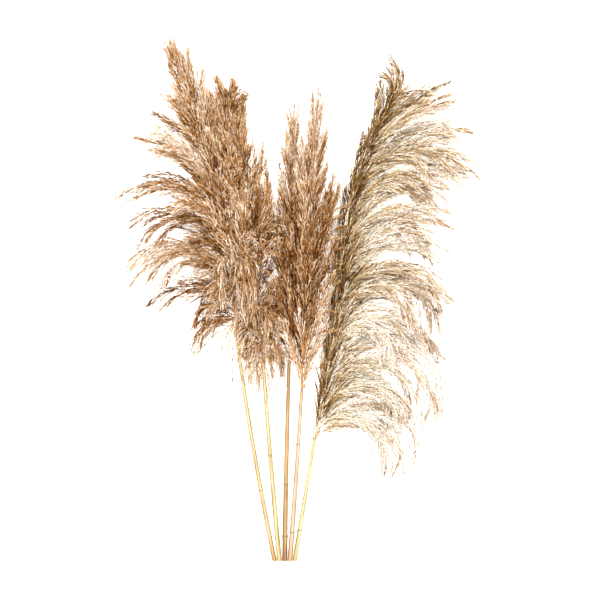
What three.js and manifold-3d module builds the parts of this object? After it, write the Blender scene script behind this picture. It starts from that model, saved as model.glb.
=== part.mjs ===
// A bunch of dried feather grass: five cut stalks fanned out on a table, each a straw-like culm with a
// feathery head. Millimetres. The stalks run along +Y from their cut ends, the table is the plane z = 0,
// and the origin is on the table under the middle of the bunch.
import * as THREE from "three";
import { mergeVertices } from "three/addons/utils/BufferGeometryUtils.js";
import Module from "manifold-3d";

const wasm = await Module();
wasm.setup();

// ---- Driving dimensions -------------------------------------------------------------------------

// One entry for each stalk, from left to right. Places are measured from the middle of the row of cut ends.
//   cut, width   x of the culm's cut end, and its diameter there
//   bow          how far the culm bends sideways, towards +x, half way up
//   joints       heights of the knots on the culm
//   axis         the four control points of the Bezier curve that the head's own stalk follows
//   weight       how much of the room between two heads this one takes
//   sprays       how many sprays the head carries
//   straw, chaff colours of the culm and of the head
// The last four are profiles, read from the foot of the head to its top:
//   lean         which side the sprays are blown to, -x or +x
//   reach        length of a spray
//   open, droop  a spray's angle from its stalk at the root, and how much further it bends, degrees
const STALKS = [
  {
    cut: -23.3, width: 9.4, bow: -4, joints: [142],
    axis: [[-101, 464, 30], [-100, 630, 46], [-144, 806, 44], [-208, 972, 24]],
    weight: 1.1, sprays: 40,
    straw: 0xdfc583, chaff: 0xb98e62,
    lean: [-0.8, -0.9, -0.6, -0.3, 0],
    reach: [84, 242, 242, 200, 118, 92],
    open: [70, 44, 33, 22, 8, 4],
    droop: [95, 112, 84, 42, 12, 4],
  },
  {
    cut: -13.3, width: 9.8, bow: -1, joints: [212],
    axis: [[-46, 398, 25], [-58, 560, 36], [-78, 720, 36], [-116, 914, 20]],
    weight: 1, sprays: 36,
    straw: 0xe8d58e, chaff: 0xb4875a,
    lean: [0, 0, 0.2, 0, -0.2],
    reach: [84, 150, 145, 145, 118, 75],
    open: [76, 50, 34, 24, 12, 9],
    droop: [110, 96, 30, 6, 6, 8],
  },
  {
    cut: -2.9, width: 10.2, bow: -1, joints: [50, 154],
    axis: [[6, 396, 14], [9, 540, 22], [12, 700, 24], [15, 850, 18]],
    weight: 0.85, sprays: 28,
    straw: 0xcfa468, chaff: 0xb58a5f,
    lean: [0, -0.3, -0.3, 0],
    reach: [120, 150, 128, 98, 84],
    open: [30, 24, 15, 8, 3],
    droop: [44, 26, 12, 6, 4],
  },
  {
    cut: 7.4, width: 9.6, bow: 1, joints: [58, 236],
    axis: [[31, 340, 44], [38, 540, 60], [46, 740, 56], [57, 870, 40]],
    weight: 1.25, sprays: 33,
    straw: 0xdcb98e, chaff: 0xb4855a,
    lean: [0.2, 0.5, 0.4, 0.1],
    reach: [140, 196, 190, 130, 98, 84],
    open: [20, 27, 23, 12, 7, 3],
    droop: [30, 30, 16, 8, 5, 4],
  },
  {
    cut: 17.2, width: 9.2, bow: 0, joints: [62],
    axis: [[57, 244, 26], [122, 490, 42], [82, 760, 42], [226, 940, 26]],
    weight: 0.6, sprays: 44,
    straw: 0xe6d48f, chaff: 0xbf9f74,
    lean: [2.4, 2, 1.7, 1.5, 1.4, 1.35, 1.3, 1.3, 1.3, 0.5, -2.6],
    reach: [224, 270, 292, 291, 284, 277, 272, 266, 276, 112, 84],
    open: [32, 39, 39, 38, 37, 36, 36, 35, 34, 22, 2],
    droop: [120, 127, 126, 117, 106, 96, 89, 74, 36, 52, 112],
  },
];

const CULM_TOP_WIDTH = 7; // a culm's diameter under its head
const CULM_SIDES = 8;
const CULM_STEPS = 8;
const KNOT_RISE = 0.7; // how far a knot stands out of the culm
const KNOT_HALF = 2.5; // half a knot's height
const SEAT_GAP = 0.3; // between the top of a culm and the foot of its head
const CUT_HEIGHT = 0.455; // of a culm's middle over the table at its cut end, as a share of its width there
const CUT_FLAT = 8; // length behind the cut end where the table presses it flat

const CORE_SIDES = 6;
const CORE_STEPS = 14;
const CORE_RADIUS = [3.4, 5.6, 5.6, 4.8, 3.6, 1.2]; // of the head's stalk, thickened by the sprays' feet

const SPRAY_STEP = 35; // about how long one length of a spray's rib is
const LEAST_STEPS = 5;
const RIB_RADIUS = [1.9, 1.5, 1.3, 1]; // root to tip
const BARE_STEPS = 1; // lengths at the root without branchlets
const BRANCHLET_REACH = 19; // how far a branchlet's tip lies past its foot
const BRANCHLET_RISE = [5.5, 7.5, 6.5, 4]; // how far it stands off the rib, root to tip

const FLATTEN = 0.42; // a head that lies on a table is this much less deep than wide
const RIB_MARGIN = 3; // from a rib to the face between two heads
const TIP_MARGIN = 0.5; // from a branchlet's tip to that face
const TABLE_CLEARANCE = 1.4; // from a rib to the table
const TIP_CLEARANCE = 1.2; // from a branchlet's tip to the table
const EASE = 0.6; // share of the room in which a spray is bent back from its neighbour

const LAST_ROOT = 0.985; // share of the head's stalk that carries sprays
const CROWDING = 0.95; // a power under 1 sets the roots closer towards the top
const CURL = 1.3; // a power over 1 bends a spray more towards its tip
const GOLDEN = 137.508; // turn from one spray to the next round the stalk, degrees
const SEED = 20417;
const FINEST = 0.02; // edges of a head's surface shorter than this are closed up
// How far chance moves a spray's turn, reach, opening, droop, swing to one side and roll, and the rise and
// sweep of its branchlets: radians, or shares of the mean.
const VARY = {
  turn: 0.5, reach: 0.18, open: 0.35, droop: 0.3, swing: 0.35, roll: 0.4, rise: 0.35, sweep: 0.3,
};

const STRAW_ROUGHNESS = 0.55;
const CHAFF_ROUGHNESS = 0.85;

// ---- Small rules --------------------------------------------------------------------------------

// A number from 0 to 1 that is always the same for the same whole numbers.
function draw(...keys) {
  let h = SEED;
  for (const key of keys) {
    h = Math.imul(h ^ (key + 0x9e3779b9), 0x85ebca6b);
    h ^= h >>> 13;
    h = Math.imul(h, 0xc2b2ae35);
    h ^= h >>> 16;
  }
  return (h >>> 0) / 2 ** 32;
}

// How far one of the quantities in VARY is from its mean on this spray, or at this place of it.
const QUANTITIES = ["", ...Object.keys(VARY)];
const vary = (quantity, head, spray, ...place) =>
  VARY[quantity] * (2 * draw(head, spray, QUANTITIES.indexOf(quantity), ...place) - 1);

// A profile's value at share t of its length.
function along(profile, t) {
  const s = Math.min(Math.max(t, 0), 1) * (profile.length - 1);
  const i = Math.min(Math.floor(s), profile.length - 2);
  return profile[i] + (profile[i + 1] - profile[i]) * (s - i);
}

const headCurve = (stalk) =>
  new THREE.CubicBezierCurve3(...stalk.axis.map((p) => new THREE.Vector3(...p)));

// The culm's middle line, from the middle of its cut end on the table to the foot of the head.
function culmCurve(stalk) {
  const cut = new THREE.Vector3(stalk.cut, 0, CUT_HEIGHT * stalk.width);
  const foot = new THREE.Vector3(...stalk.axis[0]);
  const middle = cut.clone().lerp(foot, 0.5);
  middle.x += 2 * stalk.bow;
  return new THREE.QuadraticBezierCurve3(cut, middle, foot);
}

// Points up the whole stalk, from which stalkAt reads where it is at height y.
const CULM_MARKS = 10;
const HEAD_MARKS = 30;
const marks = STALKS.map((stalk) => [
  ...culmCurve(stalk).getPoints(CULM_MARKS),
  ...headCurve(stalk).getPoints(HEAD_MARKS),
]);

function stalkAt(index, y) {
  const points = marks[index];
  const above = points.findIndex((p) => p.y > y);
  if (above === 0) return points[0];
  if (above < 0) return points[points.length - 1];
  const [a, b] = [points[above - 1], points[above]];
  return a.clone().lerp(b, (y - a.y) / (b.y - a.y));
}

// The face between two heads: how far point lies towards the neighbour, how far it may, and the way there.
function roomTowards(index, neighbour, point) {
  const own = stalkAt(index, point.y);
  const way = stalkAt(neighbour, point.y).clone().sub(own).setY(0);
  const apart = way.length();
  way.divideScalar(apart);
  const weight = STALKS[index].weight;
  const share = weight / (weight + STALKS[neighbour].weight);
  return { way, reached: point.clone().sub(own).dot(way), room: apart * share };
}

const others = (index) => STALKS.map((_, i) => i).filter((i) => i !== index);

// Bends a point of a rib back, so that each head keeps to its own side and above the table.
function keepClear(index, point) {
  for (let pass = 0; pass < 2; pass++)
    for (const neighbour of others(index)) {
      const { way, reached, room } = roomTowards(index, neighbour, point);
      const ease = EASE * room;
      const start = room - RIB_MARGIN - ease;
      if (reached > start) {
        const eased = start + ease * (1 - Math.exp(-(reached - start) / ease));
        point.addScaledVector(way, eased - reached);
      }
    }
  point.z = Math.max(point.z, TABLE_CLEARANCE);
  return point;
}

// True if a branchlet may end here.
const isClear = (index, tip) =>
  tip.z > TIP_CLEARANCE &&
  others(index).every((neighbour) => {
    const { reached, room } = roomTowards(index, neighbour, tip);
    return reached < room - TIP_MARGIN;
  });

// ---- Geometry -----------------------------------------------------------------------------------

// A closed stalk with flat sides, one of them down, and nothing below the table. Each station s is a ring
// round centre(s), level in y, whose sides are radius(s) from its middle.
function stalkGeometry(stations, sides, centre, radius) {
  const steps = stations.length - 1;
  const geometry = new THREE.CylinderGeometry(1, 1, steps, sides, steps, false, Math.PI / sides);
  const position = geometry.attributes.position;
  for (let i = 0; i < position.count; i++) {
    const s = stations[Math.round(position.getY(i) + steps / 2)];
    const middle = centre(s);
    const r = radius(s) / Math.cos(Math.PI / sides);
    position.setXYZ(
      i,
      middle.x + r * position.getX(i),
      middle.y,
      Math.max(0, middle.z + r * position.getZ(i)),
    );
  }
  return geometry;
}

function culmGeometry(stalk) {
  const curve = culmCurve(stalk);
  const top = stalk.axis[0][1];
  const knot = KNOT_HALF / top;
  const knots = stalk.joints.map((y) => y / top);
  const stations = Array.from({ length: CULM_STEPS + 1 }, (_, i) => i / CULM_STEPS)
    .filter((s) => knots.every((k) => Math.abs(s - k) > 3 * knot))
    .concat(CUT_FLAT / top, ...knots.map((k) => [k - knot, k, k + knot]))
    .sort((a, b) => a - b);
  const radius = (s) => {
    const plain = THREE.MathUtils.lerp(stalk.width, CULM_TOP_WIDTH, s * s) / 2;
    return plain + (knots.includes(s) ? KNOT_RISE : 0);
  };
  const centre = (s) => curve.getPoint(s).setY(s === 1 ? top - SEAT_GAP : curve.getPoint(s).y);
  return stalkGeometry(stations, CULM_SIDES, centre, radius);
}

function coreGeometry(stalk) {
  const curve = headCurve(stalk);
  const stations = Array.from({ length: CORE_STEPS + 1 }, (_, i) => i / CORE_STEPS);
  const centre = (s) => curve.getPoint(s);
  return stalkGeometry(stations, CORE_SIDES, centre, (s) => along(CORE_RADIUS, s));
}

// The middle line of spray number `spray` of a head, with the normal of the plane that it bends in.
function sprayPath(index, spray) {
  const stalk = STALKS[index];
  const curve = headCurve(stalk);
  const t = LAST_ROOT * ((spray + 0.5) / stalk.sprays) ** CROWDING;
  const root = curve.getPoint(t);
  const tangent = curve.getTangent(t);
  const side = new THREE.Vector3(tangent.y, -tangent.x, 0).normalize();
  const up = side.clone().cross(tangent);
  const turn = THREE.MathUtils.degToRad(spray * GOLDEN) + vary("turn", index, spray);
  const out = side
    .multiplyScalar(Math.cos(turn) + along(stalk.lean, t))
    .addScaledVector(up, Math.sin(turn))
    .normalize();
  const length = along(stalk.reach, t) * (1 + vary("reach", index, spray));
  const open = THREE.MathUtils.degToRad(along(stalk.open, t)) * (1 + vary("open", index, spray));
  const droop = THREE.MathUtils.degToRad(along(stalk.droop, t)) * (1 + vary("droop", index, spray));
  const swing = vary("swing", index, spray);
  const normal = tangent.clone().cross(out);
  const steps = Math.max(LEAST_STEPS, Math.round(length / SPRAY_STEP));
  const free = root.clone();
  const path = [root.clone()];
  for (let step = 0; step < steps; step++) {
    const f = (step + 0.5) / steps;
    const angle = open + droop * f ** CURL;
    const way = out.clone().addScaledVector(normal, swing * f).multiplyScalar(Math.sin(angle));
    way.addScaledVector(tangent, Math.cos(angle)).normalize();
    free.addScaledVector(way, length / steps);
    const flat = free.clone().setZ(root.z + FLATTEN * (free.z - root.z));
    path.push(keepClear(index, flat));
  }
  return { path, normal };
}

// One spray: a three-sided rib that tapers to a point. Each length of each side is drawn out into a
// branchlet that sweeps forward, as the spikelets of a dried head do.
function sprayGeometry(index, spray) {
  const { path, normal } = sprayPath(index, spray);
  const last = path.length - 1;
  const vertices = [];
  const faces = [];
  const rings = [];
  const frames = [];
  const push = (p) => vertices.push(p.x, p.y, p.z) / 3 - 1;
  for (let j = 0; j < last; j++) {
    const forward = path[j + 1].clone().sub(path[Math.max(j - 1, 0)]).normalize();
    const across = normal.clone().addScaledVector(forward, -normal.dot(forward)).normalize();
    const outward = across.clone().cross(forward);
    const ways = [0, 1, 2].map((k) => {
      const a = (k * 2 * Math.PI) / 3 + vary("roll", index, spray);
      return outward.clone().multiplyScalar(Math.cos(a)).addScaledVector(across, Math.sin(a));
    });
    const radius = along(RIB_RADIUS, j / last);
    rings.push(
      ways.map((way) => {
        const p = path[j].clone().addScaledVector(way, radius);
        p.z = Math.max(p.z, 0);
        return push(p);
      }),
    );
    frames.push({ forward, ways });
  }
  faces.push(rings[0][0], rings[0][2], rings[0][1]);
  for (let j = 0; j < last - 1; j++)
    for (let k = 0; k < 3; k++) {
      const next = (k + 1) % 3;
      const quad = [rings[j][k], rings[j][next], rings[j + 1][next], rings[j + 1][k]];
      const { forward, ways } = frames[j + 1];
      const rise = along(BRANCHLET_RISE, j / last) * (1 + vary("rise", index, spray, j, k));
      const reach = BRANCHLET_REACH * (1 + vary("sweep", index, spray, j, k));
      const tip = path[j + 1].clone().addScaledVector(forward, reach);
      tip.addScaledVector(ways[k].clone().add(ways[next]).normalize(), rise);
      if (j >= BARE_STEPS && isClear(index, tip)) {
        const apex = push(tip);
        quad.forEach((corner, c) => faces.push(corner, quad[(c + 1) % 4], apex));
      } else faces.push(quad[0], quad[1], quad[2], quad[0], quad[2], quad[3]);
    }
  const point = push(path[last]);
  const end = rings[last - 1];
  end.forEach((corner, c) => faces.push(corner, end[(c + 1) % 3], point));
  const geometry = new THREE.BufferGeometry();
  geometry.setAttribute("position", new THREE.Float32BufferAttribute(vertices, 3));
  return geometry.setIndex(faces);
}

// ---- Joining ------------------------------------------------------------------------------------

function toSolid(geometry) {
  const plain = geometry.clone().deleteAttribute("normal").deleteAttribute("uv");
  const merged = mergeVertices(plain);
  return new wasm.Manifold(
    new wasm.Mesh({
      numProp: 3,
      vertProperties: merged.attributes.position.array,
      triVerts: new Uint32Array(merged.index.array),
    }),
  );
}

function toGeometry(solid) {
  const mesh = solid.getMesh();
  const geometry = new THREE.BufferGeometry();
  geometry.setAttribute("position", new THREE.BufferAttribute(mesh.vertProperties, 3));
  geometry.setIndex(new THREE.BufferAttribute(mesh.triVerts, 1));
  geometry.computeVertexNormals();
  return geometry;
}

// The head as one body: its stalk with every spray sunk into it.
function headGeometry(index) {
  const stalk = STALKS[index];
  const sprays = Array.from({ length: stalk.sprays }, (_, i) => toSolid(sprayGeometry(index, i)));
  const joined = wasm.Manifold.union([toSolid(coreGeometry(stalk)), ...sprays]);
  const whole = joined.decompose().sort((a, b) => b.volume() - a.volume())[0];
  return toGeometry(whole.simplify(FINEST));
}

// ---- The bunch ----------------------------------------------------------------------------------

function named(name, geometry, color, roughness) {
  const mesh = new THREE.Mesh(geometry, new THREE.MeshStandardMaterial({ color, roughness, metalness: 0 }));
  mesh.name = name;
  return mesh;
}

const bunch = new THREE.Group();
bunch.name = "feather_grass_bunch";
STALKS.forEach((stalk, i) => {
  bunch.add(named(`culm_${i + 1}`, culmGeometry(stalk), stalk.straw, STRAW_ROUGHNESS));
  bunch.add(named(`plume_${i + 1}`, headGeometry(i), stalk.chaff, CHAFF_ROUGHNESS));
});

const box = new THREE.Box3().setFromObject(bunch);
const middle = box.getCenter(new THREE.Vector3());
bunch.position.set(-middle.x, -middle.y, 0);

export default bunch;
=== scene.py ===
import math

import bmesh
import bpy
import numpy as np
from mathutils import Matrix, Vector


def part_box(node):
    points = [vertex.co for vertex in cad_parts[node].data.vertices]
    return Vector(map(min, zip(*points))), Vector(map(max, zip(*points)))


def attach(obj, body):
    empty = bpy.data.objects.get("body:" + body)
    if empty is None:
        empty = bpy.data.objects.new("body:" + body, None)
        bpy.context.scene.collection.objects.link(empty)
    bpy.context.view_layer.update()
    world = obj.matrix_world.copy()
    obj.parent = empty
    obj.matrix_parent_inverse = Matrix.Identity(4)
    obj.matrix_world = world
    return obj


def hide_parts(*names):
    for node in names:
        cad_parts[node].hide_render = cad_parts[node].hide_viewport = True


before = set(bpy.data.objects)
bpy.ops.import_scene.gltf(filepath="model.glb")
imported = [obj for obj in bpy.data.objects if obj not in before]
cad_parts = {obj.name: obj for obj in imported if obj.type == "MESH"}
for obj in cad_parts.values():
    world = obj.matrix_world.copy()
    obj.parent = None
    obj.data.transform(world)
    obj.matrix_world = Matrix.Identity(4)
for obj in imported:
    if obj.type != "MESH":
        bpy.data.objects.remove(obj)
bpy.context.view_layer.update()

# ---- The layout of the bunch --------------------------------------------------------------------
# The heads grow by the same rule as in the part's source, in millimetres from the middle of the row of
# cut ends: x is across the bunch, y along it and z up from the table. MM turns them into metres, and
# ORIGIN is the middle of that row in the frame.

MM = 0.001
SEED = 20417

# Each stalk is a culm with a head on it. cut is the place of the culm's cut end across the bunch, width
# its width there, bow how far its middle bows to the right, and joints the distances of its knots from
# the cut. axis holds the four points that the head's curve is drawn from, and the culm ends at the first
# of them. weight sets the head's share of the room between it and a neighbour, and sprays is the number
# of its main sprays. The other lists are profiles from the head's foot to its top: how far the sprays
# lean to the right, how long they are, the angle at which they leave the stalk, and how far they bend
# over from there, in degrees.
STALKS = [
    dict(
        cut=-23.3, width=9.4, bow=-4, joints=[142],
        axis=[(-101, 464, 30), (-100, 630, 46), (-144, 806, 44), (-208, 972, 24)],
        weight=1.1, sprays=40,
        lean=[-0.8, -0.9, -0.6, -0.3, 0],
        reach=[84, 242, 242, 200, 118, 92],
        open=[70, 44, 33, 22, 8, 4],
        droop=[95, 112, 84, 42, 12, 4],
    ),
    dict(
        cut=-13.3, width=9.8, bow=-1, joints=[212],
        axis=[(-46, 398, 25), (-58, 560, 36), (-78, 720, 36), (-116, 914, 20)],
        weight=1, sprays=36,
        lean=[0, 0, 0.2, 0, -0.2],
        reach=[84, 150, 145, 145, 118, 75],
        open=[76, 50, 34, 24, 12, 9],
        droop=[110, 96, 30, 6, 6, 8],
    ),
    dict(
        cut=-2.9, width=10.2, bow=-1, joints=[50, 154],
        axis=[(6, 396, 14), (9, 540, 22), (12, 700, 24), (15, 850, 18)],
        weight=0.85, sprays=28,
        lean=[0, -0.3, -0.3, 0],
        reach=[120, 150, 128, 98, 84],
        open=[30, 24, 15, 8, 3],
        droop=[44, 26, 12, 6, 4],
    ),
    dict(
        cut=7.4, width=9.6, bow=1, joints=[58, 236],
        axis=[(31, 340, 44), (38, 540, 60), (46, 740, 56), (57, 870, 40)],
        weight=1.25, sprays=33,
        lean=[0.2, 0.5, 0.4, 0.1],
        reach=[140, 196, 190, 130, 98, 84],
        open=[20, 27, 23, 12, 7, 3],
        droop=[30, 30, 16, 8, 5, 4],
    ),
    dict(
        cut=17.2, width=9.2, bow=0, joints=[62],
        axis=[(57, 244, 26), (122, 490, 42), (82, 760, 42), (226, 940, 26)],
        weight=0.6, sprays=44,
        lean=[2.4, 2, 1.7, 1.5, 1.4, 1.35, 1.3, 1.3, 1.3, 0.5, -2.6],
        reach=[224, 270, 292, 291, 284, 277, 272, 266, 276, 112, 84],
        open=[32, 39, 39, 38, 37, 36, 36, 35, 34, 22, 2],
        droop=[120, 127, 126, 117, 106, 96, 89, 74, 36, 52, 112],
    ),
]
CULM_TOP_WIDTH = 7
CUT_HEIGHT = 0.455  # of the culm's middle above the table, as a share of its width
CORE_RADIUS = [3.4, 5.6, 5.6, 4.8, 3.6, 1.2]
FLATTEN = 0.42  # of a spray's height above its root, as a share of what it has when nothing presses it
RIB_MARGIN = 3
TABLE_CLEARANCE = 1.4
EASE = 0.6  # the share of a head's room in which its sprays bend back more and more
LAST_ROOT = 0.985  # the share of the stalk below which all sprays stand
CROWDING = 0.95  # below 1, they stand closer together towards the top
CURL = 1.3  # above 1, they bend more towards their tips
GOLDEN = math.radians(137.508)
UP = np.array([0.0, 0, 1])

# How far each quantity varies from spray to spray, to either side of its mean.
TURN, REACH, OPEN, DROOP, SWING, TONE = 1, 2, 3, 4, 5, 6
VARY = {TURN: 0.5, REACH: 0.18, OPEN: 0.35, DROOP: 0.3, SWING: 0.35, TONE: 0.15}

# The last culm is furthest to the right at its top, by half of its width there.
ORIGIN = np.array([
    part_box("culm_5")[1].x - (STALKS[4]["axis"][0][0] + CULM_TOP_WIDTH / 2) * MM,
    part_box("culm_3")[0].y,
    0.0,
])

WORDS = 2**32
HASH_STEP = 0x9E3779B9
HASH_FIRST = 0x85EBCA6B
HASH_SECOND = 0xC2B2AE35
HASH_SHIFTS = (13, 16)


def draw(*keys):
    """A number from 0 to 1 that is always the same for the same whole numbers."""
    h = SEED
    for key in keys:
        h = (h ^ (key + HASH_STEP)) * HASH_FIRST % WORDS
        h ^= h >> HASH_SHIFTS[0]
        h = h * HASH_SECOND % WORDS
        h ^= h >> HASH_SHIFTS[1]
    return h / WORDS


def vary(quantity, head, sprays):
    """How far a quantity is from its mean on each of these sprays."""
    return np.array([VARY[quantity] * (2 * draw(head, int(s), quantity) - 1) for s in sprays])


def along(profile, t):
    """A profile's value at share t of its length."""
    return np.interp(t, np.linspace(0, 1, len(profile)), profile)


def unit(v):
    """Vectors of length 1 that point the way of v."""
    return v / np.linalg.norm(v, axis=-1, keepdims=True)


def head_point(stalk, t):
    """The middle of a head's stalk at share t of its length."""
    p = np.array(stalk["axis"], float)
    t = np.asarray(t, float)[..., None]
    return p[0] * (1 - t) ** 3 + 3 * p[1] * (1 - t) ** 2 * t + 3 * p[2] * (1 - t) * t**2 + p[3] * t**3


def head_way(stalk, t):
    """The way that a head's stalk runs at share t of its length."""
    p = np.array(stalk["axis"], float)
    t = np.asarray(t, float)[..., None]
    return unit((p[1] - p[0]) * (1 - t) ** 2 + 2 * (p[2] - p[1]) * (1 - t) * t + (p[3] - p[2]) * t**2)


def sideways(way):
    """Level vectors to the right of these ways."""
    return unit(np.stack([way[:, 1], -way[:, 0], 0 * way[:, 0]], 1))


def culm_point(stalk, t):
    """The middle of a culm at share t of its length, from its cut end."""
    cut = np.array([stalk["cut"], 0, CUT_HEIGHT * stalk["width"]])
    foot = np.array(stalk["axis"][0], float)
    middle = (cut + foot) / 2 + np.array([2 * stalk["bow"], 0, 0])
    t = np.asarray(t, float)[..., None]
    return cut * (1 - t) ** 2 + 2 * middle * (1 - t) * t + foot * t**2


CULM_MARKS = np.linspace(0, 1, 11)
HEAD_MARKS = np.linspace(0, 1, 31)
MARKS = [np.concatenate([culm_point(s, CULM_MARKS), head_point(s, HEAD_MARKS)]) for s in STALKS]


def stalk_at(head, y):
    """The middle of a stalk, culm and head, at these places along the bunch."""
    marks = MARKS[head]
    return np.stack([np.interp(y, marks[:, 1], marks[:, i]) for i in (0, 1, 2)], -1)


CLEARING_ROUNDS = 2


def keep_clear(head, points, margin):
    """Bends points back, so that each head keeps to its own side and above the table."""
    points = points.copy()
    neighbours = [other for other in range(len(STALKS)) if other != head]
    for neighbour in neighbours * CLEARING_ROUNDS:
        own = stalk_at(head, points[:, 1])
        way = stalk_at(neighbour, points[:, 1]) - own
        way[:, 1] = 0
        apart = np.linalg.norm(way, axis=1)
        way /= apart[:, None]
        weight = STALKS[head]["weight"]
        room = apart * weight / (weight + STALKS[neighbour]["weight"])
        reached = ((points - own) * way).sum(1)
        ease = EASE * room
        start = room - margin - ease
        past = np.maximum(reached - start, 0)
        eased = start + ease * (1 - np.exp(-past / ease))
        points += np.where(reached > start, eased - reached, 0)[:, None] * way
    points[:, 2] = np.maximum(points[:, 2], TABLE_CLEARANCE)
    return points


RIB_STEPS = 14


def ways_out(head, plan, numbers, tangent, turn, station):
    """The ways in which sprays leave the stalk, square to it."""
    side = sideways(tangent)
    up = np.cross(side, tangent)
    turn = turn + vary(TURN, head, numbers)
    right = np.cos(turn) + along(plan["lean"], station)
    return unit(side * right[:, None] + up * (np.sin(turn) + plan.get("rise", 0))[:, None])


def grow_ribs(head, plan, numbers, t, turn, share=1.0, spread=1.0):
    """The middle lines of sprays and the normals of the planes that they bend in.

    The sprays stand at shares t of the stalk's length and turn round it. share and spread scale each
    one's length and opening. The lines come as (sprays, RIB_STEPS + 1, 3).
    """
    root = head_point(plan, t)
    tangent = head_way(plan, t)
    station = (t - plan.get("start", 0)) / plan.get("span", 1)
    out = ways_out(head, plan, numbers, tangent, turn, station)
    length = along(plan["reach"], station) * (1 + vary(REACH, head, numbers)) * share
    opened = np.radians(along(plan["open"], station)) * (1 + vary(OPEN, head, numbers)) * spread
    droop = np.radians(along(plan["droop"], station)) * (1 + vary(DROOP, head, numbers))
    swing = vary(SWING, head, numbers)[:, None]
    normal = np.cross(tangent, out)
    free = root.copy()
    path = [root]
    for step in range(RIB_STEPS):
        f = (step + 0.5) / RIB_STEPS
        angle = (opened + droop * f**CURL)[:, None]
        way = unit((out + normal * swing * f) * np.sin(angle) + tangent * np.cos(angle))
        free = free + way * (length / RIB_STEPS)[:, None]
        flat = free.copy()
        flat[:, 2] = root[:, 2] + FLATTEN * (free[:, 2] - root[:, 2])
        path.append(keep_clear(head, flat, plan.get("margin", RIB_MARGIN)))
    return np.stack(path, 1), normal


# ---- Forms that are repeated --------------------------------------------------------------------

HUSK_HALF = 0.5
HUSK_BELLY = 0.4
HUSK_KEEL = 0.4
MERGED = 1e-6
RIB_SIDES = 3
CORE_SIDES = 10


def arrays(form):
    """The places of a bmesh's vertices and its triangles. The bmesh is freed."""
    bmesh.ops.triangulate(form, faces=form.faces)
    bmesh.ops.recalc_face_normals(form, faces=form.faces)
    form.verts.index_update()
    places = np.array([v.co for v in form.verts])
    faces = np.array([[v.index for v in f.verts] for f in form.faces])
    form.free()
    return places, faces


def husk_form():
    """A slender closed husk with a keel, pointed at z = 0 and z = 1 and widest at HUSK_BELLY."""
    form = bmesh.new()
    bmesh.ops.create_cone(form, cap_ends=True, segments=3, radius1=1, radius2=0, depth=1)
    bmesh.ops.remove_doubles(form, verts=form.verts, dist=MERGED)
    low = [v for v in form.verts if v.co.z < 0]
    tip = [v for v in form.verts if v.co.z > 0]
    belly = [(side, HUSK_KEEL, HUSK_BELLY) for side in (HUSK_HALF, -HUSK_HALF)]
    for vertex, place in zip(low + tip, [(0, 0, 0), *belly, (0, 0, 1)]):
        vertex.co = place
    return arrays(form)


def rod_form(sides, steps):
    """A closed rod of radius 1 from z = 0 to z = 1, with `steps` lengths."""
    form = bmesh.new()
    bmesh.ops.create_cone(form, cap_ends=True, segments=sides, radius1=1, radius2=1, depth=1)
    bmesh.ops.translate(form, verts=form.verts, vec=(0, 0, 0.5))
    long_edges = [e for e in form.edges if abs(e.verts[0].co.z - e.verts[1].co.z) > 0.5]
    bmesh.ops.subdivide_edges(form, edges=long_edges, cuts=steps - 1, use_grid_fill=True)
    return arrays(form)


HUSK = husk_form()
RIB_ROD = rod_form(RIB_SIDES, RIB_STEPS)
CORE_ROD = rod_form(CORE_SIDES, RIB_STEPS)


def frames_at(paths, normals, s):
    """Middle, across and out of each path at shares s of its length, (n, m).

    Beyond its last point a path runs on straight.
    """
    steps = paths.shape[1] - 1
    at = np.clip(s, 0, None) * steps
    low = np.clip(at.astype(int), 0, steps - 1)
    rows = np.arange(len(paths))[:, None]
    a, b = paths[rows, low], paths[rows, low + 1]
    middle = a + (b - a) * (at - low)[..., None]
    ways = unit(np.gradient(paths, axis=1))
    share = np.clip(at - low, 0, 1)[..., None]
    way = unit(ways[rows, low] * (1 - share) + ways[rows, low + 1] * share)
    across = unit(normals[:, None] - way * (normals[:, None] * way).sum(-1, keepdims=True))
    return middle, across, np.cross(across, way)


# Chaff is coloured from a palette: u runs from dark to pale and v from one tint to another. Each form
# spreads a little round its place there, so that its triangles don't shrink to points.
PALETTE_MAP = "OFBake"
PALETTE_WIDTH = 0.012
PALETTE_LEAN = 0.3
PALETTE_EDGE = 0.01


def palette_places(form_places, tone, hue):
    """Palette places of copies of a form, (copies, vertices, 2).

    tone holds the shades of each copy's foot and tip, (copies, 2), and hue one number each.
    """
    x, y, z = form_places.T[:, None]
    shade = tone[:, :1] + (tone[:, 1:] - tone[:, :1]) * z + PALETTE_WIDTH * x
    return np.stack([shade, hue[:, None] + PALETTE_WIDTH * (y + PALETTE_LEAN * z)], -1)


FLOOR_CLEARANCE = 0.2


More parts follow.
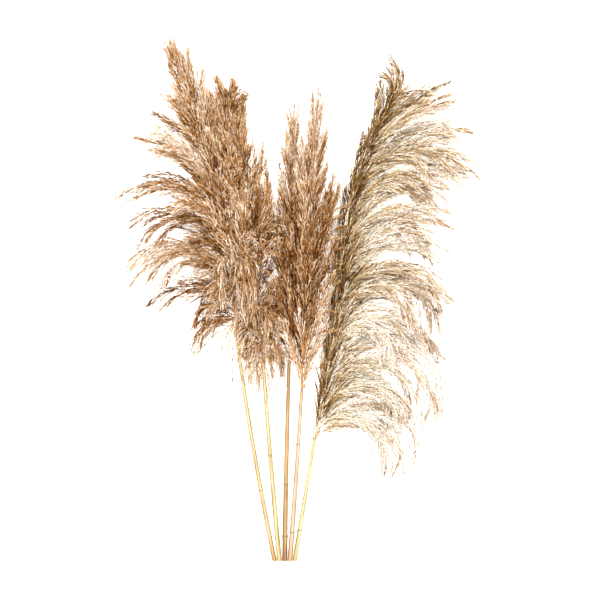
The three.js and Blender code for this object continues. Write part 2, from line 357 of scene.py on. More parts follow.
class Cloud:
    """Copies of closed forms, in millimetres, gathered into one mesh with its places on the palette."""

    def __init__(self):
        self.places = []
        self.faces = []
        self.palette = []
        self.count = 0

    def add(self, places, faces, palette):
        """places and palette hold the vertices of n copies, (n, vertices, 3 or 2)."""
        copies, size = places.shape[:2]
        starts = self.count + size * np.arange(copies)
        self.places.append(places.reshape(-1, 3))
        self.palette.append(palette.reshape(-1, 2))
        self.faces.append((faces[None] + starts[:, None, None]).reshape(-1, 3))
        self.count += copies * size

    def add_husks(self, foot, tip, width, roll, tone, hue):
        """Husks from foot to tip, with their keels turned away from roll."""
        places, faces = HUSK
        length = np.linalg.norm(tip - foot, axis=1, keepdims=True)
        forward = (tip - foot) / length
        across = unit(np.cross(forward, roll))
        out = np.cross(across, forward)
        beside = places[None, :, :1] * across[:, None] + places[None, :, 1:2] * out[:, None]
        made = foot[:, None] + (tip - foot)[:, None] * places[None, :, 2:] + beside * width[:, None, None]
        self.add(made, faces, palette_places(places, tone, hue))

    def add_rods(self, form, ribs, radius, tone, hue, slim=1.0):
        """Rods bent along ribs. radius is the profile of their radius, which slim scales."""
        places, faces = form
        paths, normals = ribs
        z = places[:, 2]
        middle, across, out = frames_at(paths, normals, np.tile(z, (len(paths), 1)))
        r = (slim * along(radius, z))[None, :, None]
        made = middle + r * (places[None, :, :1] * across + places[None, :, 1:2] * out)
        self.add(made, faces, palette_places(places, tone, hue))

    def mesh(self, name):
        """The mesh of all that was added, in metres in the frame."""
        places = np.concatenate(self.places) * MM + ORIGIN
        places[:, 2] = np.maximum(places[:, 2], FLOOR_CLEARANCE * MM)
        faces = np.concatenate(self.faces)
        palette = np.clip(np.concatenate(self.palette), PALETTE_EDGE, 1 - PALETTE_EDGE)
        mesh = bpy.data.meshes.new(name)
        mesh.vertices.add(len(places))
        mesh.vertices.foreach_set("co", places.ravel())
        mesh.loops.add(faces.size)
        mesh.loops.foreach_set("vertex_index", faces.ravel())
        mesh.polygons.add(len(faces))
        mesh.polygons.foreach_set("loop_start", np.arange(0, faces.size, 3))
        mesh.uv_layers.new(name=PALETTE_MAP)
        mesh.uv_layers[PALETTE_MAP].uv.foreach_set("vector", palette[faces.ravel()].ravel())
        mesh.update(calc_edges=True)
        return mesh


# ---- Pieces and finishes ------------------------------------------------------------------------


def put(name, data):
    """A new object in the scene."""
    thing = bpy.data.objects.new(name, data)
    bpy.context.scene.collection.objects.link(thing)
    return thing


def put_piece(name, mesh, material, node):
    """A piece that is shown in the place of a CAD node."""
    piece = put(name, mesh)
    mesh.materials.append(material)
    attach(piece, "root")
    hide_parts(node)


def paint(code):
    """A colour from its screen code, such as "c39d7a"."""
    screen = [int(code[i:i + 2], 16) / 255 for i in (0, 2, 4)]
    linear = [c / 12.92 if c <= 0.04045 else ((c + 0.055) / 1.055) ** 2.4 for c in screen]
    return (*linear, 1)


def even_stops(codes):
    """A ramp's stops with these colours, the same way apart."""
    return [(i / (len(codes) - 1), code) for i, code in enumerate(codes)]


class Value:
    """A number socket that Python's arithmetic works on."""

    def __init__(self, finish, socket):
        self.finish = finish
        self.socket = socket

    def maths(self, operation, a, b):
        return self.finish.value("ShaderNodeMath", {"operation": operation}, {0: a, 1: b})

    def __add__(self, other):
        return self.maths("ADD", self, other)

    def __radd__(self, other):
        return self.maths("ADD", other, self)

    def __sub__(self, other):
        return self.maths("SUBTRACT", self, other)

    def __rsub__(self, other):
        return self.maths("SUBTRACT", other, self)

    def __mul__(self, other):
        return self.maths("MULTIPLY", self, other)

    def __rmul__(self, other):
        return self.maths("MULTIPLY", other, self)


# The Mix node's sockets for colours.
MIX_SHARE, MIX_A, MIX_B, MIX_RESULT = 0, 6, 7, 2


class Finish:
    """A material whose nodes are made by calls on it."""

    def __init__(self, name, **shader):
        self.material = bpy.data.materials.new(name)
        self.material.use_nodes = True
        self.tree = self.material.node_tree
        self.shader = self.tree.nodes["Principled BSDF"]
        for socket, value in shader.items():
            self.shader.inputs[socket.replace("_", " ")].default_value = value

    def node(self, kind, settings, inputs):
        """A node of this kind, with its settings first and then its sockets' values or links."""
        node = self.tree.nodes.new(kind)
        for name, setting in settings.items():
            if name == "stops":
                self.set_stops(node.color_ramp.elements, setting)
            else:
                setattr(node, name, setting)
        for name, value in inputs.items():
            self.feed(node.inputs[name], value)
        return node

    def set_stops(self, elements, stops):
        while len(elements) < len(stops):
            elements.new(0.5)
        for element, (place, code) in zip(elements, stops):
            element.position = place
            element.color = paint(code)

    def feed(self, socket, value):
        """Links a socket to a value's socket, or sets it to a plain value."""
        if isinstance(value, Value):
            value = value.socket
        if isinstance(value, bpy.types.NodeSocket):
            self.tree.links.new(value, socket)
        else:
            socket.default_value = value

    def value(self, kind, settings, inputs, output=0):
        return Value(self, self.node(kind, settings, inputs).outputs[output])

    def uv_places(self, uv_map):
        return self.node("ShaderNodeUVMap", {"uv_map": uv_map}, {}).outputs[0]

    def apart(self, places):
        """The first and second of a vector's numbers."""
        outputs = self.node("ShaderNodeSeparateXYZ", {}, {0: places}).outputs
        return Value(self, outputs[0]), Value(self, outputs[1])

    def ramp(self, share, stops):
        """The colour at a share of the way along stops, each a place and a screen code."""
        return self.value("ShaderNodeValToRGB", {"stops": stops}, {"Fac": share})

    def multiply(self, a, b):
        """One colour multiplied by another."""
        settings = {"data_type": "RGBA", "blend_type": "MULTIPLY"}
        return self.value("ShaderNodeMix", settings, {MIX_SHARE: 1.0, MIX_A: a, MIX_B: b}, MIX_RESULT)

    def paint_with(self, colour):
        self.feed(self.shader.inputs["Base Color"], colour)
        return self.material


def chaff(name, shades, tints):
    """Husks and threads: dark to pale along the palette's first way, with tints along its second."""
    finish = Finish(name, Roughness=0.8, Specular_IOR_Level=0.1)
    tone, hue = finish.apart(finish.uv_places(PALETTE_MAP))
    shade = finish.ramp(tone, even_stops(shades))
    return finish.paint_with(finish.multiply(shade, finish.ramp(hue, even_stops(tints))))


BROWN = chaff(
    "brown_chaff",
    shades=["40220a", "92602a", "cfac83", "f3eadf", "fefbf7"],
    tints=["fff0e8", "ffffff", "ffe9c6"],
)
CREAM = chaff(
    "cream_chaff",
    shades=["4e3418", "a07d4b", "d5be9b", "f0e9df", "f9f5f0"],
    tints=["fdefe9", "ffffff", "fbf3dd"],
)
CHAFF = [BROWN, BROWN, BROWN, BROWN, CREAM]

# Straw's own map: u is the share of the way round it, shifted from culm to culm, and v the distance from
# its cut end in millimetres. The flank attribute rises from 0 along its top and underside to 1 along
# its sides, where it darkens the straw as painted shade of its round form. The grain's shade is the sum of
# streaks and blotches, less the shift, which brings it to about half way.
STRAW_MAP = "straw"
FLANK_SHADE = "flank"
STREAKS = dict(scale=(14, 0.012, 1), detail=4.0)
BLOTCHES = dict(scale=(2, 0.02, 1), detail=3.0)
STREAK_DEPTH = 1.5
BLOTCH_DEPTH = 0.8
SHADE_SHIFT = 0.66
FLANK_SHADE_DEPTH = 0.85
FOOT_TINT_END, TOP_TINT_START = 0.16, 0.8
RING_HALF = 1.6
RING_COLOUR = "9c7850"
WHITE = "ffffff"


def noise(finish, places, scale, detail):
    """Noise that is finer or coarser each way by scale."""
    scaled = finish.node("ShaderNodeMapping", {}, {"Vector": places, "Scale": scale})
    inputs = {"Vector": scaled.outputs[0], "Scale": 1.0, "Detail": detail}
    return finish.value("ShaderNodeTexNoise", {}, inputs)


def ring_stops(joints, length):
    """White, with a thin dark ring at each knot."""
    stops = [(0, WHITE)]
    for joint in joints:
        ring = [(-RING_HALF, WHITE), (0, RING_COLOUR), (RING_HALF, WHITE)]
        stops += [((joint + past) / length, code) for past, code in ring]
    return stops


def straw(name, shades, tints, joints, length):
    """Polished dry straw: long streaks, flanks darkened as painted shade, a tint at foot and top and a
    ring at each knot.
    """
    finish = Finish(name, Roughness=0.42)
    places = finish.uv_places(STRAW_MAP)
    streaks = noise(finish, places, **STREAKS)
    blotches = noise(finish, places, **BLOTCHES)
    share = streaks * STREAK_DEPTH + blotches * BLOTCH_DEPTH - SHADE_SHIFT
    flank = finish.value("ShaderNodeAttribute", {"attribute_name": FLANK_SHADE}, {}, "Fac")
    # Painted shade: the straw is darkened along its sides, as if its round form were shaded there.
    colour = finish.ramp(share - flank * FLANK_SHADE_DEPTH, even_stops(shades))
    station = finish.apart(places)[1] * (1 / length)
    foot, middle, top = tints
    tint = finish.ramp(station, [(0, foot), (FOOT_TINT_END, middle), (TOP_TINT_START, middle), (1, top)])
    ring = finish.ramp(station, ring_stops(joints, length))
    colour = finish.multiply(finish.multiply(colour, tint), ring)
    bump = finish.node("ShaderNodeBump", {}, {"Strength": 0.25, "Distance": 0.0004, "Height": streaks})
    finish.feed(finish.shader.inputs["Normal"], bump.outputs[0])
    return finish.paint_with(colour)


STRAW_SHADES = [
    ["7a5c2e", "a48f62", "b8b08c", "c9c7b0"],
    ["826a32", "a69868", "b8b48e", "c9c8b1"],
    ["6a4e28", "957646", "ac9164", "beae88"],
    ["785c3e", "a48a70", "b9ab94", "cac4b6"],
    ["7c6e3a", "a49c6c", "b7b58e", "c8c8b1"],
]
STRAW_TINTS = [
    ["f6ceb0", WHITE, "f6e4c0"],
    ["fff6e0", WHITE, "fff4d0"],
    ["d8b898", WHITE, "e4d0b0"],
    ["f4d4c0", WHITE, "fbf0d4"],
    ["f2dcb0", WHITE, "f6fce4"],
]
STRAWS = [
    straw(f"straw_{i + 1}", STRAW_SHADES[i], STRAW_TINTS[i], stalk["joints"], stalk["axis"][0][1])
    for i, stalk in enumerate(STALKS)
]

# ---- The heads ----------------------------------------------------------------------------------
# A spray is a rib with slender branchlets, and a branchlet is a thread with husks on all sides of it.
# A look says how the sprays of a layer are dressed. Lengths are in millimetres and angles in degrees,
# and the lists run from the rib's foot to its tip:
#   shade         painted shade: how much darker a spray is that lies deep in the head
#   lowest        the darkest mean tone of a spray
#   bright        how much paler a branchlet's tip is than its foot
#   tip, fade     how much the branchlets' tone and hue change from the rib's foot to its tip
#   root          how much darker they are where the rib starts
#   strand, grain how much the tone varies from branchlet to branchlet and from husk to husk
#   spacing, bare the branchlets' distance apart and the share of the rib before the first
#   angle, reach  how far they lean away from the rib and how long they are
#   past          how far they may reach past the rib's tip
#   thread        the width of their thread
#   husk, width   a husk's length and width, and husk_spacing the distance from one to the next
#   flare, sag    how far a husk's tip stands off, as a share of its length, and how far it hangs

BROWN_LOOK = dict(
    shade=0.3, lowest=0.16, bright=0.42, tip=0.06, fade=0, root=0.06, strand=0.12, grain=0.04,
    spacing=4.1, bare=0.05, angle=[30, 30, 27, 18], reach=[34, 42, 39, 30], past=8, thread=1.1,
    husk=14, width=1.3, husk_spacing=7.8, flare=0.14, sag=0.5,
)
CREAM_LOOK = dict(
    shade=0.22, lowest=0.14, bright=0.4, tip=-0.1, fade=-0.8, root=0.4, strand=0.22, grain=0.05,
    spacing=5.5, bare=0.05, angle=[26, 24, 21, 13], reach=[48, 58, 52, 36], past=6, thread=1.3,
    husk=15, width=1.6, husk_spacing=9, flare=0.16, sag=0.5,
)
LOOKS = [BROWN_LOOK, BROWN_LOOK, BROWN_LOOK, BROWN_LOOK, CREAM_LOOK]

# What some layers change of their head's look.
CURLY = dict(spacing=7, bare=0.1, husk=11, husk_spacing=7, flare=0.3, width=1.2, thread=1.1, bright=0.3)
WISPY = dict(spacing=11, bare=0.2, husk_spacing=6, width=1.2, thread=1)
# BROAD dresses the shade linings: dark sprays laid low under a head as painted shade.
BROAD = dict(spacing=7, husk_spacing=12, husk=22, width=2.4, thread=1.6, shade=0.1, bright=0.25, past=0)
CLOSE = dict(spacing=5)

# The layers of each head. The first is its main sprays, the same as in the part's source. A layer with a
# lock follows the main sprays, that many to each. The others have sprays of their own, numbered from
# first, over a span of the head from start on, with their own profiles, and rise turns them upwards, or
# down where it is below 0. A margin below 0 lets a layer reach that far past its head's room. tone makes
# it paler or darker, and full scales how long and spread its branchlets are.
LAYERS = [
    [
        dict(name="sprays", first=0, count=40),
        dict(name="down", lock=3, count=120, margin=-16),
        dict(
            name="fluff", first=3000, count=44, span=0.5, rise=0.5, margin=-30, tone=0.24, look=CURLY,
            lean=[0.2, 0.2, 0], reach=[66, 90, 100], open=[64, 60, 46], droop=[70, 80, 60],
        ),
        dict(
            name="tuft", first=2000, count=110, rise=0.5, margin=-24, tone=-0.06,
            lean=[-0.2, -0.2, 0, 0, 0], reach=[90, 112, 120, 110, 90, 76],
            open=[60, 40, 28, 17, 9, 5], droop=[90, 40, 20, 10, 6, 4],
        ),
        dict(
            name="strays", first=4000, count=9, span=0.08, margin=-30, tone=0.12, full=0.6, look=WISPY,
            lean=[0.2, 0.2], reach=[120, 90], open=[140, 120], droop=[40, 40],
        ),
        # The shade lining is painted shade: dark, broad sprays low under the head, so that its gaps read
        # as deep shadow.
        dict(
            name="shade_lining", first=5000, count=56, rise=-0.7, margin=-10, tone=-0.26, look=BROAD,
            lean=[-0.1, -0.1, -0.1, 0], reach=[80, 110, 100, 76, 40],
            open=[40, 34, 24, 14, 5], droop=[50, 40, 20, 8, 4],
        ),
    ],
    [
        dict(name="sprays", first=0, count=36),
        dict(name="down", lock=3, count=108, margin=-16),
        dict(
            name="fluff", first=3000, count=60, span=0.5, rise=0.5, margin=-30, tone=0.24, look=CURLY,
            lean=[-0.3, -0.3, -0.2], reach=[62, 90, 90], open=[60, 66, 50], droop=[80, 80, 60],
        ),
        dict(
            name="tuft", first=2000, count=100, rise=0.5, margin=-24, tone=-0.06,
            lean=[0, -0.2, -0.6, -0.7, -0.5, 0], reach=[54, 76, 100, 110, 90, 50],
            open=[50, 50, 34, 26, 16, 9], droop=[90, 50, 24, 10, 6, 4],
        ),
        dict(
            name="crown", first=6000, count=30, start=0.9, span=0.09, rise=0.8, tone=-0.34, look=CURLY,
            lean=[-0.1, -0.3], reach=[74, 66], open=[20, 20], droop=[30, 130],
        ),
        dict(
            name="drift", first=7000, count=50, start=0.26, span=0.6, rise=1.5, margin=-90, look=CLOSE,
            lean=[-1.1, -1.4, -1.4], reach=[150, 160, 150], open=[34, 38, 34], droop=[4, 4, 4],
        ),
        dict(
            name="strays", first=4000, count=12, span=0.08, margin=-30, tone=0.12, full=0.6, look=WISPY,
            lean=[0.5, 0.5], reach=[110, 80], open=[130, 120], droop=[50, 40],
        ),
        # The shade lining is painted shade: dark, broad sprays low under the head, so that its gaps read
        # as deep shadow.
        dict(
            name="shade_lining", first=5000, count=56, rise=-0.7, margin=-12, tone=-0.24, look=BROAD,
            lean=[0, 0, 0, 0], reach=[56, 90, 90, 76, 36],
            open=[36, 30, 22, 12, 4], droop=[50, 40, 20, 8, 4],
        ),
    ],
    [
        dict(name="sprays", first=0, count=28),
        dict(name="down", lock=2, count=56, margin=-12),
        dict(
            name="tuft", first=2000, count=44, rise=0.4, tone=-0.1,
            lean=[0, 0, 0, 0], reach=[60, 90, 90, 80, 70],
            open=[30, 20, 15, 10, 5], droop=[30, 20, 12, 8, 4],
        ),
        # The shade lining is painted shade: dark, broad sprays low under the head, so that its gaps read
        # as deep shadow.
        dict(
            name="shade_lining", first=5000, count=34, rise=-0.7, margin=-6, tone=-0.2, look=BROAD,
            lean=[0, 0, 0, 0], reach=[70, 100, 84, 56, 30],
            open=[20, 18, 13, 7, 3], droop=[20, 14, 8, 5, 4],
        ),
    ],
    [
        dict(name="sprays", first=0, count=33),
        dict(name="down", lock=2, count=66, margin=-12),
        dict(
            name="tuft", first=2000, count=50, rise=0.4, tone=0.06,
            lean=[0, 0, 0, 0], reach=[80, 110, 110, 100, 90, 70],
            open=[20, 20, 18, 14, 10, 6], droop=[30, 20, 14, 10, 6, 4],
        ),
        dict(
            name="strays", first=4000, count=22, span=0.6, rise=0.5, margin=-34, tone=-0.1, full=0.7,
            look=WISPY, lean=[1.4, 1.6, 1.6], reach=[80, 120, 130], open=[34, 40, 40], droop=[50, 50, 40],
        ),
        # The shade lining is painted shade: dark, broad sprays low under the head, so that its gaps read
        # as deep shadow.
        dict(
            name="shade_lining", first=5000, count=40, rise=-0.7, margin=-6, tone=-0.2, look=BROAD,
            lean=[0, 0, 0, 0], reach=[90, 120, 100, 64, 36],
            open=[16, 20, 16, 8, 3], droop=[20, 14, 8, 5, 4],
        ),
    ],
    [
        dict(name="sprays", first=0, count=44),
        dict(name="down", lock=3, count=132, margin=-6),
        dict(
            name="tuft", first=2000, count=100, tone=-0.5,
            lean=[-1, -0.8, 0, 0.8, 1, 0.8, -1], reach=[70, 100, 110, 120, 110, 70, 50],
            open=[12, 9, 6, 5, 5, 3, 2], droop=[8, 10, 12, 10, 10, 10, 70],
        ),
        dict(
            name="strays", first=4000, count=6, span=0.05, margin=-6, full=0.7,
            lean=[2.4, 2.4], reach=[288, 288], open=[34, 34], droop=[132, 132],
        ),
        dict(
            name="collar", first=8000, count=34, span=0.5, rise=0.5, margin=-6, tone=-0.36, full=0.8,
            lean=[1.2, 1.3, 1.4], reach=[110, 110, 90], open=[12, 16, 20], droop=[16, 20, 20],
        ),
    ],
]

# The mean tone and hue of the sprays along each head, from its foot to its top, and how full they are.
TONES = [
    [0.44, 0.43, 0.54, 0.74],
    [0.62, 0.4, 0.54, 0.6],
    [0.58, 0.42, 0.66, 0.9],
    [0.55, 0.32, 0.56, 0.76],
    [0.84, 0.78, 0.66, 0.5],
]
HUES = [
    [0.5, 0.5, 0.45, 0.45],
    [0.55, 0.9, 0.7, 0.55],
    [0.6, 0.6, 0.45, 0.4],
    [0.5, 0.5, 0.4, 0.4],
    [0.55, 0.5, 0.5, 0.5],
]
FULLNESS = [
    [1, 1, 1, 0.8],
    [1, 1, 1, 0.9],
    [1, 1, 0.84, 0.42],
    [0.8, 1, 0.84, 0.42],
    [1, 1, 1, 1, 0.6],
]

# The stalk inside a head: its tones at foot and top, its hue, and how slim it is beside the solid's.
CORE_TONES = [[0.3, 0.4], [0.3, 0.4], [0.3, 0.4], [0.3, 0.4], [0.74, 0.4]]
CORE_HUES = [0.5, 0.5, 0.5, 0.5, 0.98]
CORE_SLIM = 0.45

RIB_RADIUS = [0.9, 0.7, 0.5, 0.25]
RIB_TONE_SPREAD = 0.06
RIB_HUE_SPREAD = 0.25
RIB_TONES = np.array([-0.1, 0.05])
ROLL = 0.3
DARK_ROOT = 0.2  # the share of the rib that the look's root darkens

FEWEST_BRANCHLETS = 6
LAST_FOOT = 0.97
BRANCHLET_TURN = 0.5
BRANCHLET_ANGLES = (0.3, 1.5)
BRANCHLET_REACHES = (0.6, 1.2)
BRANCHLET_HUE_SPREAD = 0.15
BRANCHLET_HUES = (0.05, 0.95)
BRANCHLET_BEND = 0.4  # the share by which its tip is nearer the rib than if it ran straight
THREAD_STOPS = (0.0, 0.45, 0.9)
THREAD_OVERLAP = 0.15

FEWEST_HUSKS = 3
HUSK_START, HUSK_SPAN = 0.1, 0.8
HUSK_PLACES = (0.2, 0.8)
HUSK_LENGTHS = (0.6, 1.4)
HUSK_TAPER = 0.3  # how much shorter the last husk of a branchlet is
HUSK_FLARES = (0.3, 1.5)
HUSK_WIDTHS = (0.6, 1.3)
HUSK_TONES = np.array([-0.08, 0.1])
HUSK_HUE_SPREAD = 0.1
HUSK_HUES = (0.03, 0.97)


def numbered(counts):
    """Things shared out over carriers: the carrier of each and its number on that carrier."""
    carrier = np.repeat(np.arange(len(counts)), counts)
    return carrier, np.arange(len(carrier)) - np.repeat(np.cumsum(counts) - counts, counts)


class Branchlets:
    """The branchlets of a layer, which lean away from its ribs and bend back towards their tips."""

    def __init__(self, rng, look, ribs, tones, hues, fullness):
        """tones, hues and fullness hold a number for each rib."""
        self.rng = rng
        self.look = look
        self.paths, self.normals = ribs
        self.lengths = np.linalg.norm(np.diff(self.paths, axis=1), axis=2).sum(1)
        counts = np.maximum(FEWEST_BRANCHLETS, (self.lengths / look["spacing"]).astype(int))
        self.rib, order = numbered(counts)
        self.count = len(self.rib)
        share = (order + rng.uniform(0, 1, self.count)) / counts[self.rib]
        self.foot = look["bare"] + (LAST_FOOT - look["bare"]) * share
        self.turn = order * GOLDEN + rng.normal(0, BRANCHLET_TURN, self.count)
        self.size_up(fullness[self.rib])
        self.colour(tones[self.rib], hues[self.rib])

    def size_up(self, fullness):
        """Their angle to the rib and their length."""
        angle = np.radians(along(self.look["angle"], self.foot))
        self.angle = angle * self.rng.uniform(*BRANCHLET_ANGLES, self.count) * fullness
        reach = along(self.look["reach"], self.foot)
        reach = reach * self.rng.uniform(*BRANCHLET_REACHES, self.count) * fullness
        left = (1 - self.foot) * self.lengths[self.rib]
        self.reach = np.minimum(reach, left + self.look["past"])

    def colour(self, tones, hues):
        """Their tone and hue, from those of their ribs."""
        up_the_rib = self.foot - 0.5
        tone = tones + self.rng.normal(0, self.look["strand"], self.count) + self.look["tip"] * up_the_rib
        self.tone = tone - self.look["root"] * np.clip(1 - self.foot / DARK_ROOT, 0, 1)
        hue = hues + self.rng.normal(0, BRANCHLET_HUE_SPREAD, self.count) + self.look["fade"] * up_the_rib
        self.hue = np.clip(hue, *BRANCHLET_HUES)

    def points(self, pick, distance, off=0.0, off_turn=0.0):
        """Points at these distances along the picked branchlets, and `off` from the thread to one side."""
        rib, angle, turn = self.rib[pick], self.angle[pick], self.turn[pick]
        outwards = angle * distance * (1 - BRANCHLET_BEND * (distance / self.reach[pick]))
        s = self.foot[pick] + distance * np.cos(angle) / self.lengths[rib]
        middle, across, out = frames_at(self.paths[rib], self.normals[rib], s[:, None])
        x = outwards * np.cos(turn) + off * np.cos(off_turn)
        y = outwards * np.sin(turn) + off * np.sin(off_turn)
        return middle[:, 0] + x[:, None] * out[:, 0] + y[:, None] * across[:, 0]

    def add_threads(self, cloud):
        """Their threads, in lengths that overlap a little."""
        every = np.arange(self.count)
        ends = [self.points(every, self.reach * stop) for stop in THREAD_STOPS]
        shades = [self.tone + self.look["bright"] * (stop - 0.5) for stop in THREAD_STOPS]
        width = np.full(self.count, self.look["thread"])
        for foot, tip, *tones in zip(ends, ends[1:], shades, shades[1:]):
            roll = UP + self.rng.normal(0, ROLL, (self.count, 3))
            tip = tip + THREAD_OVERLAP * (tip - foot)
            cloud.add_husks(foot, tip, width, roll, np.stack(tones, 1), self.hue)

    def add_husks(self, cloud):
        """Husks round each thread, from near the branchlet's foot to its tip."""
        rng, look = self.rng, self.look
        counts = np.maximum(FEWEST_HUSKS, (self.reach / look["husk_spacing"]).astype(int))
        pick, order = numbered(counts)
        count = len(pick)
        share = (order + rng.uniform(*HUSK_PLACES, count)) / counts[pick]
        start = self.reach[pick] * (HUSK_START + HUSK_SPAN * share)
        length = look["husk"] * (1 - HUSK_TAPER * share) * rng.uniform(*HUSK_LENGTHS, count)
        flare = look["flare"] * rng.uniform(*HUSK_FLARES, count)
        off_turn = order * GOLDEN + rng.uniform(0, 1, count)
        foot = self.points(pick, start)
        tip = self.points(pick, start + length, length * flare, off_turn)
        tip = tip - UP * (look["sag"] * rng.uniform(0, 1, count))[:, None]
        tone = self.tone[pick] + rng.normal(0, look["grain"], count) + look["bright"] * (share - 0.5)
        hue = np.clip(self.hue[pick] + rng.normal(0, HUSK_HUE_SPREAD, count), *HUSK_HUES)
        width = look["width"] * rng.uniform(*HUSK_WIDTHS, count)
        roll = UP + rng.normal(0, ROLL, (count, 3))
        cloud.add_husks(foot, tip, width, roll, tone[:, None] + HUSK_TONES, hue)


def add_sprays(cloud, rng, look, ribs, tones, hues, fullness):
    """Sprays on these ribs, with a mean tone and hue and a fullness for each."""
    count = len(tones)
    tones = np.maximum(tones + rng.normal(0, RIB_TONE_SPREAD, count), look["lowest"])
    hues = hues + rng.uniform(-RIB_HUE_SPREAD, RIB_HUE_SPREAD, count)
    cloud.add_rods(RIB_ROD, ribs, RIB_RADIUS, tones[:, None] + RIB_TONES, hues)
    branchlets = Branchlets(rng, look, ribs, tones, hues, fullness)
    branchlets.add_threads(cloud)
    branchlets.add_husks(cloud)


def add_core(cloud, head):
    """The stalk inside a head."""
    path = head_point(STALKS[head], np.linspace(0, 1, RIB_STEPS + 1))
    tone, hue = np.array([CORE_TONES[head]]), np.array([CORE_HUES[head]])
    cloud.add_rods(CORE_ROD, (path[None], UP[None]), CORE_RADIUS, tone, hue, CORE_SLIM)


BRACTS = 7
BRACT_FEET = (0, 0.03)
BRACT_OUT = 1.5
BRACT_DOWN = 12
BRACT_REACHES = (26, 52)
BRACT_FLARES = (4, 13)
BRACT_WIDTHS = (3, 5.5)
BRACT_FOOT_TONES = (0.35, 0.5)
BRACT_TIP_TONES = (0.45, 0.75)
BRACT_HUES = (0.4, 0.9)


def add_bracts(cloud, rng, stalk):
    """Papery bracts round the top of the culm, along it and along the head's foot."""
    t = rng.uniform(*BRACT_FEET, BRACTS)
    turn = np.arange(BRACTS) * GOLDEN
    way = head_way(stalk, t)
    side = sideways(way)
    out = side * np.cos(turn)[:, None] + np.cross(side, way) * np.sin(turn)[:, None]
    foot = head_point(stalk, t) + out * BRACT_OUT - way * BRACT_DOWN
    reach = rng.uniform(*BRACT_REACHES, BRACTS)[:, None]
    flare = rng.uniform(*BRACT_FLARES, BRACTS)[:, None]
    tone = np.stack([rng.uniform(*tones, BRACTS) for tones in (BRACT_FOOT_TONES, BRACT_TIP_TONES)], 1)
    width = rng.uniform(*BRACT_WIDTHS, BRACTS)
    hue = rng.uniform(*BRACT_HUES, BRACTS)
    cloud.add_husks(foot, foot + way * reach + out * flare, width, out, tone, hue)


MAIN_START = 0.5
FILLER_START = 0.8
LAYER_TURN = 1.2
LOCK_ROOTS = 0.006
LOCK_TURN = 0.13
LOCK_LENGTHS = (0.75, 1.04)
LOCK_SPREADS = (0.85, 1.1)
# Painted shade: a spray is painted darker the lower its tip lies in the head and the nearer it is to the
# stalk.
HIGHEST = 90  # the height at which a spray isn't darkened at all
BESIDE = 120  # the distance from the stalk at which it is darkened least
BESIDE_RELIEF = 0.45


def root_shares(count, start):
    """Where the sprays of a layer stand on the head's stalk, as shares of its length."""
    return LAST_ROOT * ((np.arange(count) + start) / (count + start - 0.5)) ** CROWDING


def lock_ribs(head, plan, rng):
    """Ribs that follow the main sprays: their shares of the stalk, their sprays' numbers and the ribs."""
    count = plan["count"]
    guide = np.arange(count) // plan["lock"]
    t = root_shares(plan["sprays"], MAIN_START)[guide] + rng.normal(0, LOCK_ROOTS, count)
    t = np.clip(t, 0, LAST_ROOT)
    turn = guide * GOLDEN + rng.normal(0, LOCK_TURN, count)
    share = rng.uniform(*LOCK_LENGTHS, count)
    spread = rng.uniform(*LOCK_SPREADS, count)
    return t, guide, grow_ribs(head, plan, guide, t, turn, share, spread)


def free_ribs(head, plan, part):
    """Ribs with places of their own: their shares of the stalk, their numbers and the ribs."""
    order = np.arange(plan["count"])
    shares = root_shares(plan["count"], MAIN_START if part == 0 else FILLER_START)
    t = plan.get("start", 0) + plan.get("span", 1) * shares
    numbers = order + plan["first"]
    return t, numbers, grow_ribs(head, plan, numbers, t, order * GOLDEN + LAYER_TURN * part)


def spray_tones(head, plan, look, t, numbers, tips):
    """Each spray's mean tone, with painted shade: darker where its tip lies low in the head, near the
    stalk.
    """
    beside = np.abs(tips[:, 0] - stalk_at(head, tips[:, 1])[:, 0])
    # depth is the share of painted shade, eased for sprays that lie far beside the stalk
    depth = 1 - np.clip(tips[:, 2] / HIGHEST, 0, 1)
    depth *= 1 - BESIDE_RELIEF * np.clip(beside / BESIDE, 0, 1)
    tones = along(TONES[head], t) - look["shade"] * depth + plan.get("tone", 0)
    return tones + vary(TONE, head, numbers)


def make_layer(head, part, layer):
    """One layer of a head. The first also holds the head's stalk and its bracts."""
    node = f"plume_{head + 1}"
    rng = np.random.default_rng([SEED, head, part])
    plan = {**STALKS[head], **layer}
    look = {**LOOKS[head], **layer.get("look", {})}
    t, numbers, ribs = lock_ribs(head, plan, rng) if "lock" in layer else free_ribs(head, plan, part)
    cloud = Cloud()
    if part == 0:
        add_core(cloud, head)
        add_bracts(cloud, rng, STALKS[head])
    tones = spray_tones(head, plan, look, t, numbers, ribs[0][:, -1])
    fullness = layer.get("full", 1) * along(FULLNESS[head], t)
    add_sprays(cloud, rng, look, ribs, tones, along(HUES[head], t), fullness)
    put_piece(f"{node}_{layer['name']}", cloud.mesh(node), CHAFF[head], node)


def make_head(head):
    for part, layer in enumerate(LAYERS[head]):
        make_layer(head, part, layer)


# ---- The culms ----------------------------------------------------------------------------------

CULM_SIDES = 20
CULM_LENGTHS = 120
CULM_ROD = rod_form(CULM_SIDES, CULM_LENGTHS)
KNOT_RISE = 0.7
KNOT_WAIST = 0.25
KNOT_REACH = 3.5
TOP_END = 0.999
TOP_GAP = 0.3  # of the vertices past TOP_END to the head's foot
CUT_NORMAL = -0.9  # a face whose normal is further down the bunch is part of the cut end
HOLLOW = 5
RIM = 0.34  # as a share of the culm's radius
PATTERN_STEP = 3.7  # from one culm to the next, so that no two have the same streaks
# How sharply the painted shade gathers at the sides of the straw.
FLANK_SHADE_POWER = 3


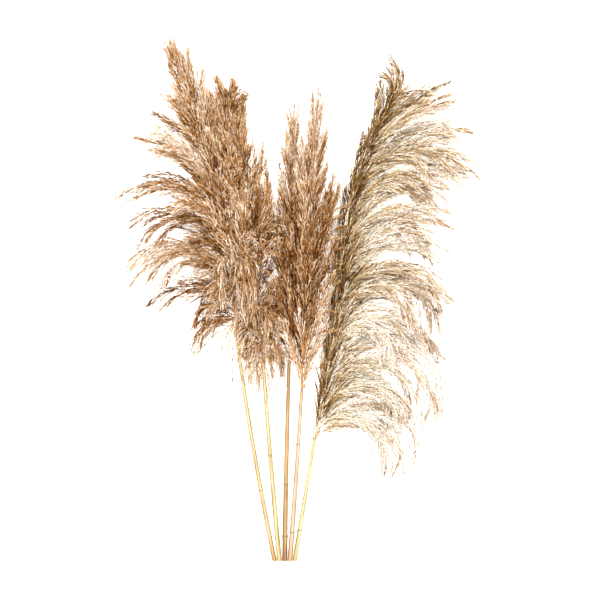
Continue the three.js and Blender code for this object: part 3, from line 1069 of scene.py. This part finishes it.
def culm_radius(stalk, z):
    """A culm's radius at shares z of its length, thicker at each knot and slimmer just past it."""
    y = z * stalk["axis"][0][1]
    radius = (stalk["width"] + (CULM_TOP_WIDTH - stalk["width"]) * z**2) / 2
    for joint in stalk["joints"]:
        radius = radius + KNOT_RISE * np.exp(-(((y - joint) / KNOT_REACH) ** 2))
        radius = radius - KNOT_WAIST * np.exp(-(((y - joint - 2 * KNOT_REACH) / KNOT_REACH) ** 2))
    return radius


def culm_places(stalk):
    """Where the rod's vertices lie on a culm, which is flattened a little where it rests on the table."""
    places = CULM_ROD[0]
    z = places[:, 2]
    made = culm_point(stalk, z)
    made[:, 1] -= TOP_GAP * (z > TOP_END)
    radius = culm_radius(stalk, z)
    made[:, 0] += radius * places[:, 0]
    made[:, 2] += radius * places[:, 1]
    made[:, 2] = np.maximum(made[:, 2], 0)
    return made


def map_straw(mesh, index):
    """The straw map of a culm's mesh, and the flank attribute that marks its sides for painted shade."""
    places, faces = CULM_ROD
    y = places[:, 2] * STALKS[index]["axis"][0][1]
    around = (np.arctan2(places[:, 1], places[:, 0]) / (2 * math.pi))[faces]
    around = around + (around < around.max(1, keepdims=True) - 0.5)
    layer = mesh.uv_layers.new(name=STRAW_MAP)
    layer.uv.foreach_set("vector", np.stack([around + PATTERN_STEP * index, y[faces]], -1).ravel())
    flank = mesh.attributes.new(FLANK_SHADE, "FLOAT", "POINT")
    flank.data.foreach_set("value", np.abs(places[:, 0]) ** FLANK_SHADE_POWER)


def cut_faces(form):
    """The faces of a culm's cut end."""
    return [f for f in form.faces if f.normal.y < CUT_NORMAL]


def hollow_out(mesh, width):
    """Gives a culm a flat cut end with a hollow in it."""
    form = bmesh.new()
    form.from_mesh(mesh)
    bmesh.ops.dissolve_faces(form, faces=cut_faces(form))
    cut = cut_faces(form)
    for face in cut:
        face.smooth = False
    bmesh.ops.inset_region(form, faces=cut, thickness=RIM * width / 2 * MM)
    bmesh.ops.translate(form, verts=[v for f in cut for v in f.verts], vec=(0, HOLLOW * MM, 0))
    form.to_mesh(mesh)
    form.free()


def make_culm(index):
    """A round straw with knots, hollow where it is cut."""
    node = f"culm_{index + 1}"
    stalk = STALKS[index]
    faces = CULM_ROD[1]
    mesh = bpy.data.meshes.new(node)
    mesh.from_pydata((culm_places(stalk) * MM + ORIGIN).tolist(), [], faces.tolist())
    mesh.polygons.foreach_set("use_smooth", np.ones(len(faces), bool))
    map_straw(mesh, index)
    hollow_out(mesh, stalk["width"])
    put_piece(f"straw_{node}", mesh, STRAWS[index], node)


for index in range(len(STALKS)):
    make_culm(index)
    make_head(index)

# ---- The room -----------------------------------------------------------------------------------

VIEW_CENTRE = np.array([28, 524, 30]) * MM + ORIGIN
VIEW_WIDTH = 1.2
CAMERA_HEIGHT = 6.0
CAMERA_REACH = 60
SENSOR_WIDTH = 36
FLOOR_SIZE = 12.0
FLOOR_COLOUR = "fbfaf8"
FLOOR_GLOW = dict(Emission_Color=(1, 0.95, 0.9, 1), Emission_Strength=0.9)
LAMP_COLOUR = "fffefc"
SKY_COLOUR = (1, 0.95, 0.88, 1)
SKY_STRENGTH = 1.2


def make_floor():
    form = bmesh.new()
    bmesh.ops.create_grid(form, x_segments=1, y_segments=1, size=FLOOR_SIZE / 2)
    mesh = bpy.data.meshes.new("floor")
    form.to_mesh(mesh)
    form.free()
    finish = Finish("floor_white", Roughness=0.9, **FLOOR_GLOW)
    mesh.materials.append(finish.paint_with(paint(FLOOR_COLOUR)))
    put("floor", mesh)


def make_lamp(name, place, size, power):
    """A round lamp that faces the middle of the view."""
    light = bpy.data.lights.new(name, "AREA")
    light.shape = "DISK"
    light.size = size
    light.energy = power
    light.color = paint(LAMP_COLOUR)[:3]
    lamp = put(name, light)
    lamp.location = place
    lamp.rotation_euler = (Vector(VIEW_CENTRE) - Vector(place)).to_track_quat("-Z", "Y").to_euler()


def make_camera():
    """A camera straight above the middle of the view, so far off that it shows VIEW_WIDTH."""
    camera = bpy.data.cameras.new("camera")
    camera.sensor_width = SENSOR_WIDTH
    camera.lens = SENSOR_WIDTH * (CAMERA_HEIGHT - VIEW_CENTRE[2]) / VIEW_WIDTH
    camera.clip_end = CAMERA_REACH
    eye = put("camera", camera)
    eye.location = (VIEW_CENTRE[0], VIEW_CENTRE[1], CAMERA_HEIGHT)
    bpy.context.scene.camera = eye


def make_sky():
    world = bpy.data.worlds.new("sky")
    world.use_nodes = True
    sky = world.node_tree.nodes["Background"]
    sky.inputs["Color"].default_value = SKY_COLOUR
    sky.inputs["Strength"].default_value = SKY_STRENGTH
    bpy.context.scene.world = world


make_floor()
make_lamp("key", place=(-0.8, 1.1, 3.4), size=1.3, power=160)
make_lamp("fill", place=(1.8, -0.6, 2.8), size=2.2, power=60)
make_sky()
make_camera()
bpy.context.scene.view_settings.view_transform = "Standard"
